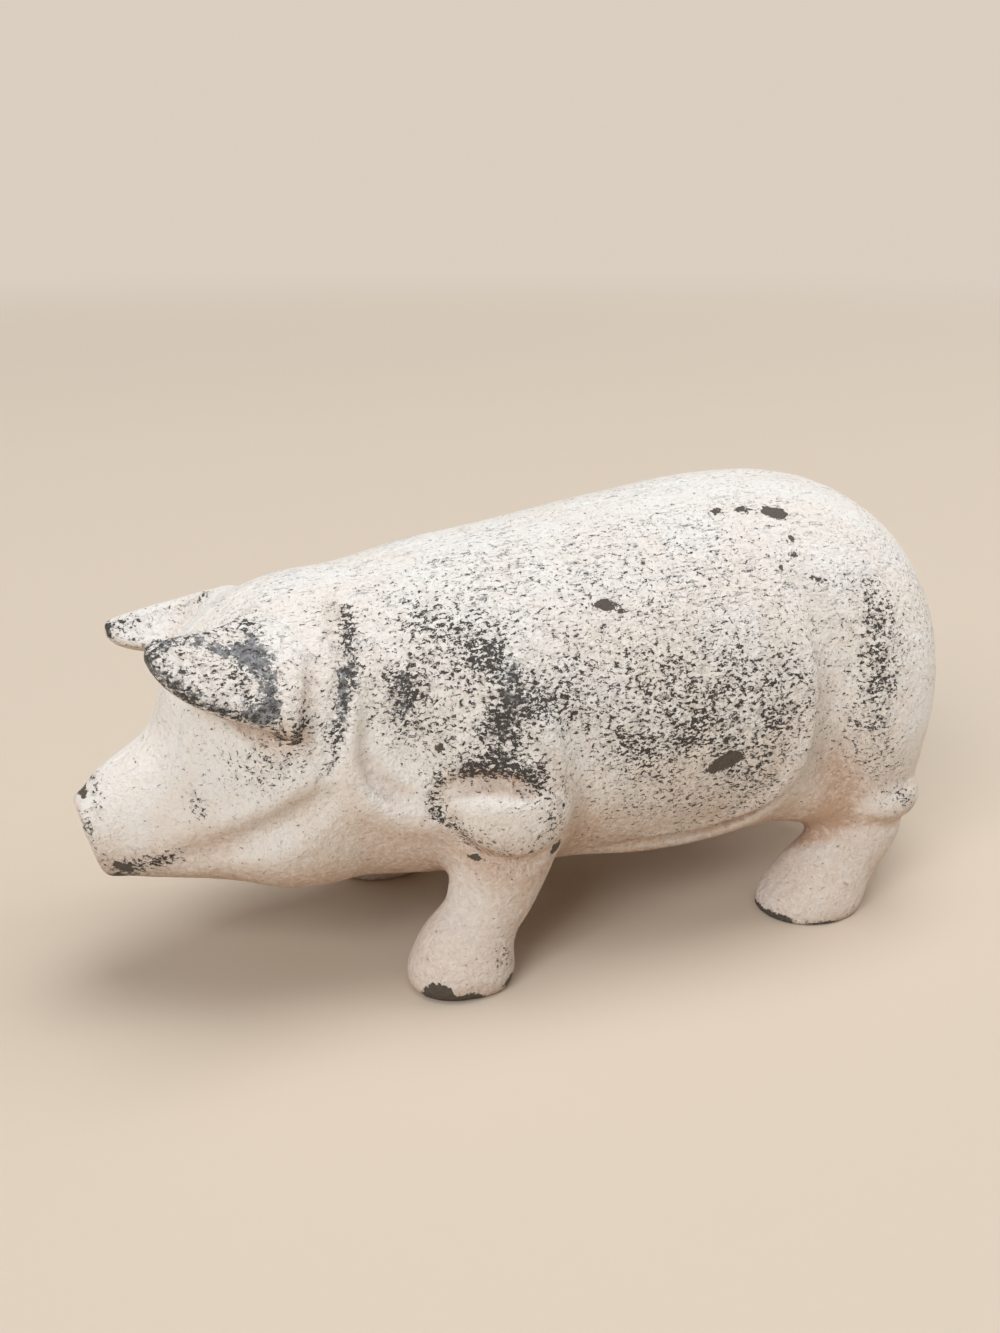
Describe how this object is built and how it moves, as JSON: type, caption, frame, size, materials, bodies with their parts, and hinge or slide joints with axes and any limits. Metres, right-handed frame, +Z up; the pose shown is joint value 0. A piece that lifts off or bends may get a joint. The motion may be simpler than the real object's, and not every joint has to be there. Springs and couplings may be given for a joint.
{
  "type": "pig figurine",
  "caption": "Standing cast-iron pig figurine in distressed white paint, cast as hollow left and right halves joined on the centre plane by a long screw.",
  "frame": {"origin": "on the ground under the middle of the pig's length and width", "axes": "+Z up, the pig faces -X, its left flank to -Y"},
  "size_m": [0.1241, 0.0526, 0.0607],
  "materials": {
    "painted_iron": "matt chalky white paint rubbed through to dark iron",
    "screw_steel": "dull plain steel"
  },
  "bodies": {
    "root": {"left_half": "painted_iron", "right_half": "painted_iron", "screw": "screw_steel"}
  },
  "joints": []
}
